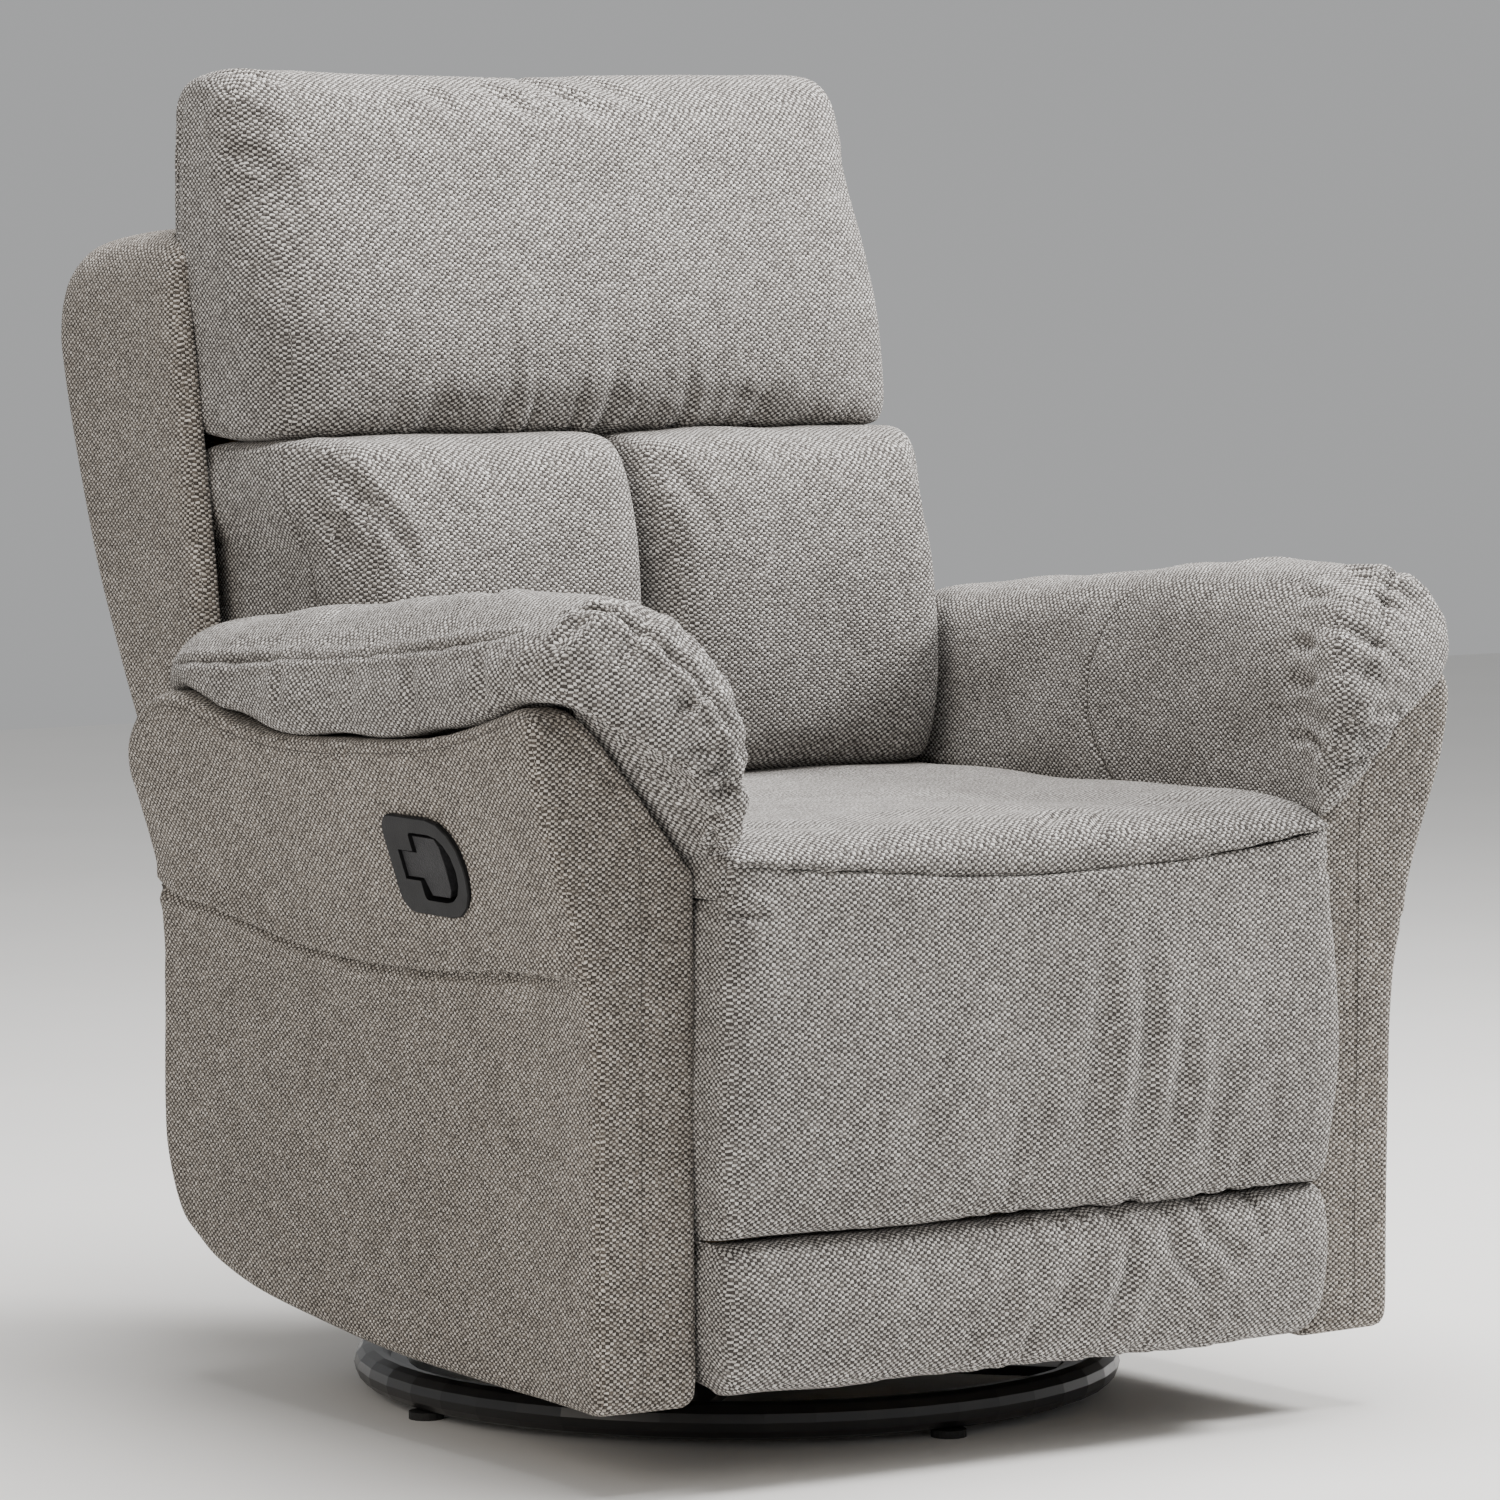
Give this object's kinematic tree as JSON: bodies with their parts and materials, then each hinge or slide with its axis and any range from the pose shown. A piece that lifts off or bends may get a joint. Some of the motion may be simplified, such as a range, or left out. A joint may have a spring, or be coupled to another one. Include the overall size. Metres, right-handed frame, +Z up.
{
  "type": "glider nursery chair",
  "caption": "Upholstered swivel glider recliner: ring base, four-link glide, flared padded arms, reclining pillow back, swing-out leg rest, release paddle.",
  "frame": {"origin": "on the floor, at the middle of the chair's overall width and depth", "axes": "+Z up; the seat faces -Y; +X is the sitter's left"},
  "size_m": [0.866, 0.975, 1.058],
  "materials": {
    "ring_paint": "gloss black paint on steel",
    "frame_steel": "satin black stove enamel on pressed steel",
    "link_steel": "zinc-plated steel",
    "frame_wood": "plain plywood and softwood, unfinished",
    "glide_plastic": "moulded black plastic",
    "handle_plastic": "grained black plastic",
    "cover_fabric": "warm grey heathered woven cloth over foam and fibre"
  },
  "bodies": {
    "base": {"ball_race": "link_steel", "base_cross": "ring_paint", "base_ring": "ring_paint", "floor_glide_front": "glide_plastic", "floor_glide_left": "glide_plastic", "floor_glide_rear": "glide_plastic", "floor_glide_right": "glide_plastic", "swivel_bolt": "link_steel", "swivel_plate_lower": "frame_steel"},
    "turntable": {"glide_bracket_left": "frame_steel", "glide_bracket_right": "frame_steel", "glide_rail_front": "frame_steel", "glide_rail_rear": "frame_steel", "swivel_plate_upper": "frame_steel"},
    "carriage": {"arm_panel_left": "cover_fabric", "arm_panel_right": "cover_fabric", "arm_pillow_left": "cover_fabric", "arm_pillow_right": "cover_fabric", "hanger_plate_left": "frame_steel", "hanger_plate_right": "frame_steel", "rear_panel": "cover_fabric", "release_bezel": "handle_plastic", "seat_cushion": "cover_fabric", "seat_rail_front": "frame_wood", "seat_rail_left": "frame_wood", "seat_rail_rear": "frame_wood", "seat_rail_right": "frame_wood", "seat_spring_left": "link_steel", "seat_spring_middle": "link_steel", "seat_spring_right": "link_steel", "side_plate_left": "frame_steel", "side_plate_right": "frame_steel"},
    "leg_rest": {"leg_rest_board": "frame_wood", "leg_rest_lug_left": "frame_steel", "leg_rest_lug_right": "frame_steel", "leg_rest_pad_lower": "cover_fabric", "leg_rest_pad_upper": "cover_fabric"},
    "back": {"back_bracket_left": "frame_steel", "back_bracket_right": "frame_steel", "back_rail_bottom": "frame_wood", "back_rail_top": "frame_wood", "back_shell": "cover_fabric", "back_upright_left": "frame_wood", "back_upright_right": "frame_wood", "head_pillow": "cover_fabric", "lumbar_pillow_left": "cover_fabric", "lumbar_pillow_right": "cover_fabric"},
    "paddle": {"release_paddle": "handle_plastic"},
    "latch": {"release_latch": "link_steel"},
    "leg_link_root_left": {"leg_link_root_left": "link_steel"},
    "leg_link_root_right": {"leg_link_root_right": "link_steel"},
    "leg_link_tip_left": {"leg_link_tip_left": "link_steel"},
    "leg_link_tip_right": {"leg_link_tip_right": "link_steel"},
    "swing_link_front_left": {"swing_link_front_left": "link_steel"},
    "swing_link_front_right": {"swing_link_front_right": "link_steel"},
    "swing_link_rear_left": {"swing_link_rear_left": "link_steel"},
    "swing_link_rear_right": {"swing_link_rear_right": "link_steel"}
  },
  "joints": [
    {"name": "swivel", "type": "hinge", "parent": "base", "child": "turntable", "pos_m": [0, -0.0575, 0.045], "axis": [0, 0, 1], "continuous": true},
    {"name": "glide", "type": "hinge", "parent": "turntable", "child": "swing_link_front_left", "pos_m": [0.2185, -0.1575, 0.235], "axis": [1, 0, 0], "range_deg": [-14, 14]},
    {"name": "glide_level", "type": "hinge", "parent": "swing_link_front_left", "child": "carriage", "pos_m": [0.2185, -0.1575, 0.095], "axis": [1, 0, 0], "range_deg": [-14, 14]},
    {"name": "glide_front_right", "type": "hinge", "parent": "turntable", "child": "swing_link_front_right", "pos_m": [-0.2185, -0.1575, 0.235], "axis": [1, 0, 0], "range_deg": [-14, 14]},
    {"name": "glide_rear_left", "type": "hinge", "parent": "turntable", "child": "swing_link_rear_left", "pos_m": [0.2185, 0.0425, 0.235], "axis": [1, 0, 0], "range_deg": [-14, 14]},
    {"name": "glide_rear_right", "type": "hinge", "parent": "turntable", "child": "swing_link_rear_right", "pos_m": [-0.2185, 0.0425, 0.235], "axis": [1, 0, 0], "range_deg": [-14, 14]},
    {"name": "leg_rest_swing", "type": "hinge", "parent": "carriage", "child": "leg_rest", "pos_m": [0, -0.462, 0.438], "axis": [-1, 0, 0], "range_deg": [0, 84]},
    {"name": "leg_root_left", "type": "hinge", "parent": "carriage", "child": "leg_link_root_left", "pos_m": [0.2553, -0.292, 0.338], "axis": [-1, 0, 0], "range_deg": [0, 84]},
    {"name": "leg_elbow_left", "type": "hinge", "parent": "leg_link_root_left", "child": "leg_link_tip_left", "pos_m": [0.2553, -0.225, 0.176], "axis": [-1, 0, 0], "range_deg": [-84, 0]},
    {"name": "leg_root_right", "type": "hinge", "parent": "carriage", "child": "leg_link_root_right", "pos_m": [-0.2553, -0.292, 0.338], "axis": [-1, 0, 0], "range_deg": [0, 84]},
    {"name": "leg_elbow_right", "type": "hinge", "parent": "leg_link_root_right", "child": "leg_link_tip_right", "pos_m": [-0.2553, -0.225, 0.176], "axis": [-1, 0, 0], "range_deg": [-84, 0]},
    {"name": "back_recline", "type": "hinge", "parent": "carriage", "child": "back", "pos_m": [0, 0.2, 0.37], "axis": [-1, 0, 0], "range_deg": [0, 38]},
    {"name": "paddle_pull", "type": "hinge", "parent": "carriage", "child": "paddle", "pos_m": [-0.39808, -0.209, 0.45766], "axis": [0.3122, 0, -0.95], "range_deg": [0, 32], "stiffness_Nm_per_rad": 0.8, "springref_deg": -17.19},
    {"name": "latch_trip", "type": "hinge", "parent": "carriage", "child": "latch", "pos_m": [-0.2554, -0.02, 0.322], "axis": [1, 0, 0], "range_deg": [0, 32]}
  ],
  "couplings": [
    {"joint": "glide_level", "follows": "glide", "ratio": -1},
    {"joint": "glide_front_right", "follows": "glide", "ratio": 1},
    {"joint": "glide_rear_left", "follows": "glide", "ratio": 1},
    {"joint": "glide_rear_right", "follows": "glide", "ratio": 1},
    {"joint": "leg_root_left", "follows": "leg_rest_swing", "ratio": 1},
    {"joint": "leg_elbow_left", "follows": "leg_rest_swing", "ratio": -1},
    {"joint": "leg_root_right", "follows": "leg_rest_swing", "ratio": 1},
    {"joint": "leg_elbow_right", "follows": "leg_rest_swing", "ratio": -1},
    {"joint": "latch_trip", "follows": "paddle_pull", "ratio": 0.75}
  ]
}
